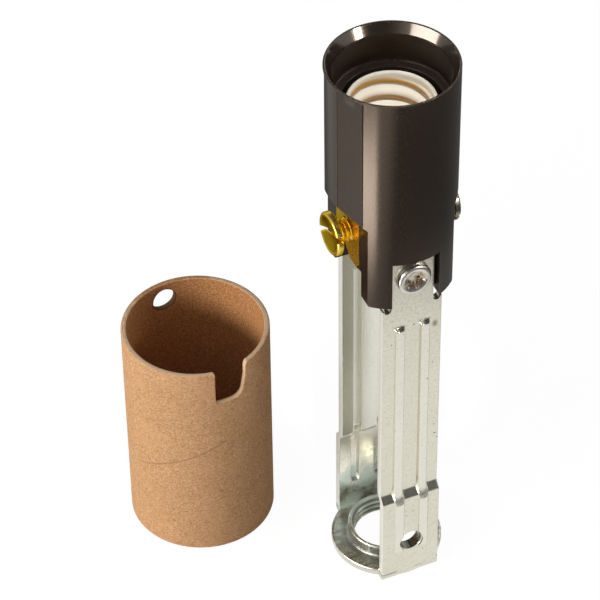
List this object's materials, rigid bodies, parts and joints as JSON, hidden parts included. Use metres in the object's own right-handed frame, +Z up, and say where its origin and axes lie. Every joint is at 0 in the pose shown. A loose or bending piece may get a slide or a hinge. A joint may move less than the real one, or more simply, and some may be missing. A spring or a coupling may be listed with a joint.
{
  "type": "candelabra lamp holder",
  "caption": "Keyless candelabra lamp holder: moulded socket with screw shell on a folded strap bracket with a threaded ring, and its card sleeve.",
  "frame": {"origin": "centre of the bracket's threaded ring, on the ring's lower face", "axes": "+Z up the socket's axis towards the lamp; the bracket's legs stand at -Y and +Y; the brass terminal faces -X"},
  "size_m": [0.0419, 0.0385, 0.0899],
  "materials": {
    "plated_steel": "zinc-plated strip",
    "nickel": "nickel plated",
    "moulding": "semi-gloss phenolic moulding",
    "shell_metal": "rolled sheet, bright",
    "brass": "bright brass",
    "fibre": "vulcanised fibre",
    "card": "wound kraft card"
  },
  "bodies": {
    "holder": {"bracket": "plated_steel", "front_leg_rivet": "nickel", "back_leg_rivet": "nickel", "socket_body": "moulding", "screw_shell": "shell_metal", "shell_strap": "nickel", "shell_rivet": "nickel", "contact_strap": "brass", "contact_washer": "fibre", "centre_contact": "brass", "contact_rivet": "brass", "insulating_sleeve": "card"},
    "shell_screw": {"shell_terminal_screw": "nickel"},
    "contact_screw": {"contact_terminal_screw": "brass"}
  },
  "joints": [
    {"name": "shell_screw_travel", "type": "slide", "parent": "holder", "child": "shell_screw", "axis": [1, 0, 0], "range_m": [-0.00185, 0.0006]},
    {"name": "contact_screw_travel", "type": "slide", "parent": "holder", "child": "contact_screw", "axis": [-1, 0, 0], "range_m": [-0.00185, 0.0006]}
  ]
}
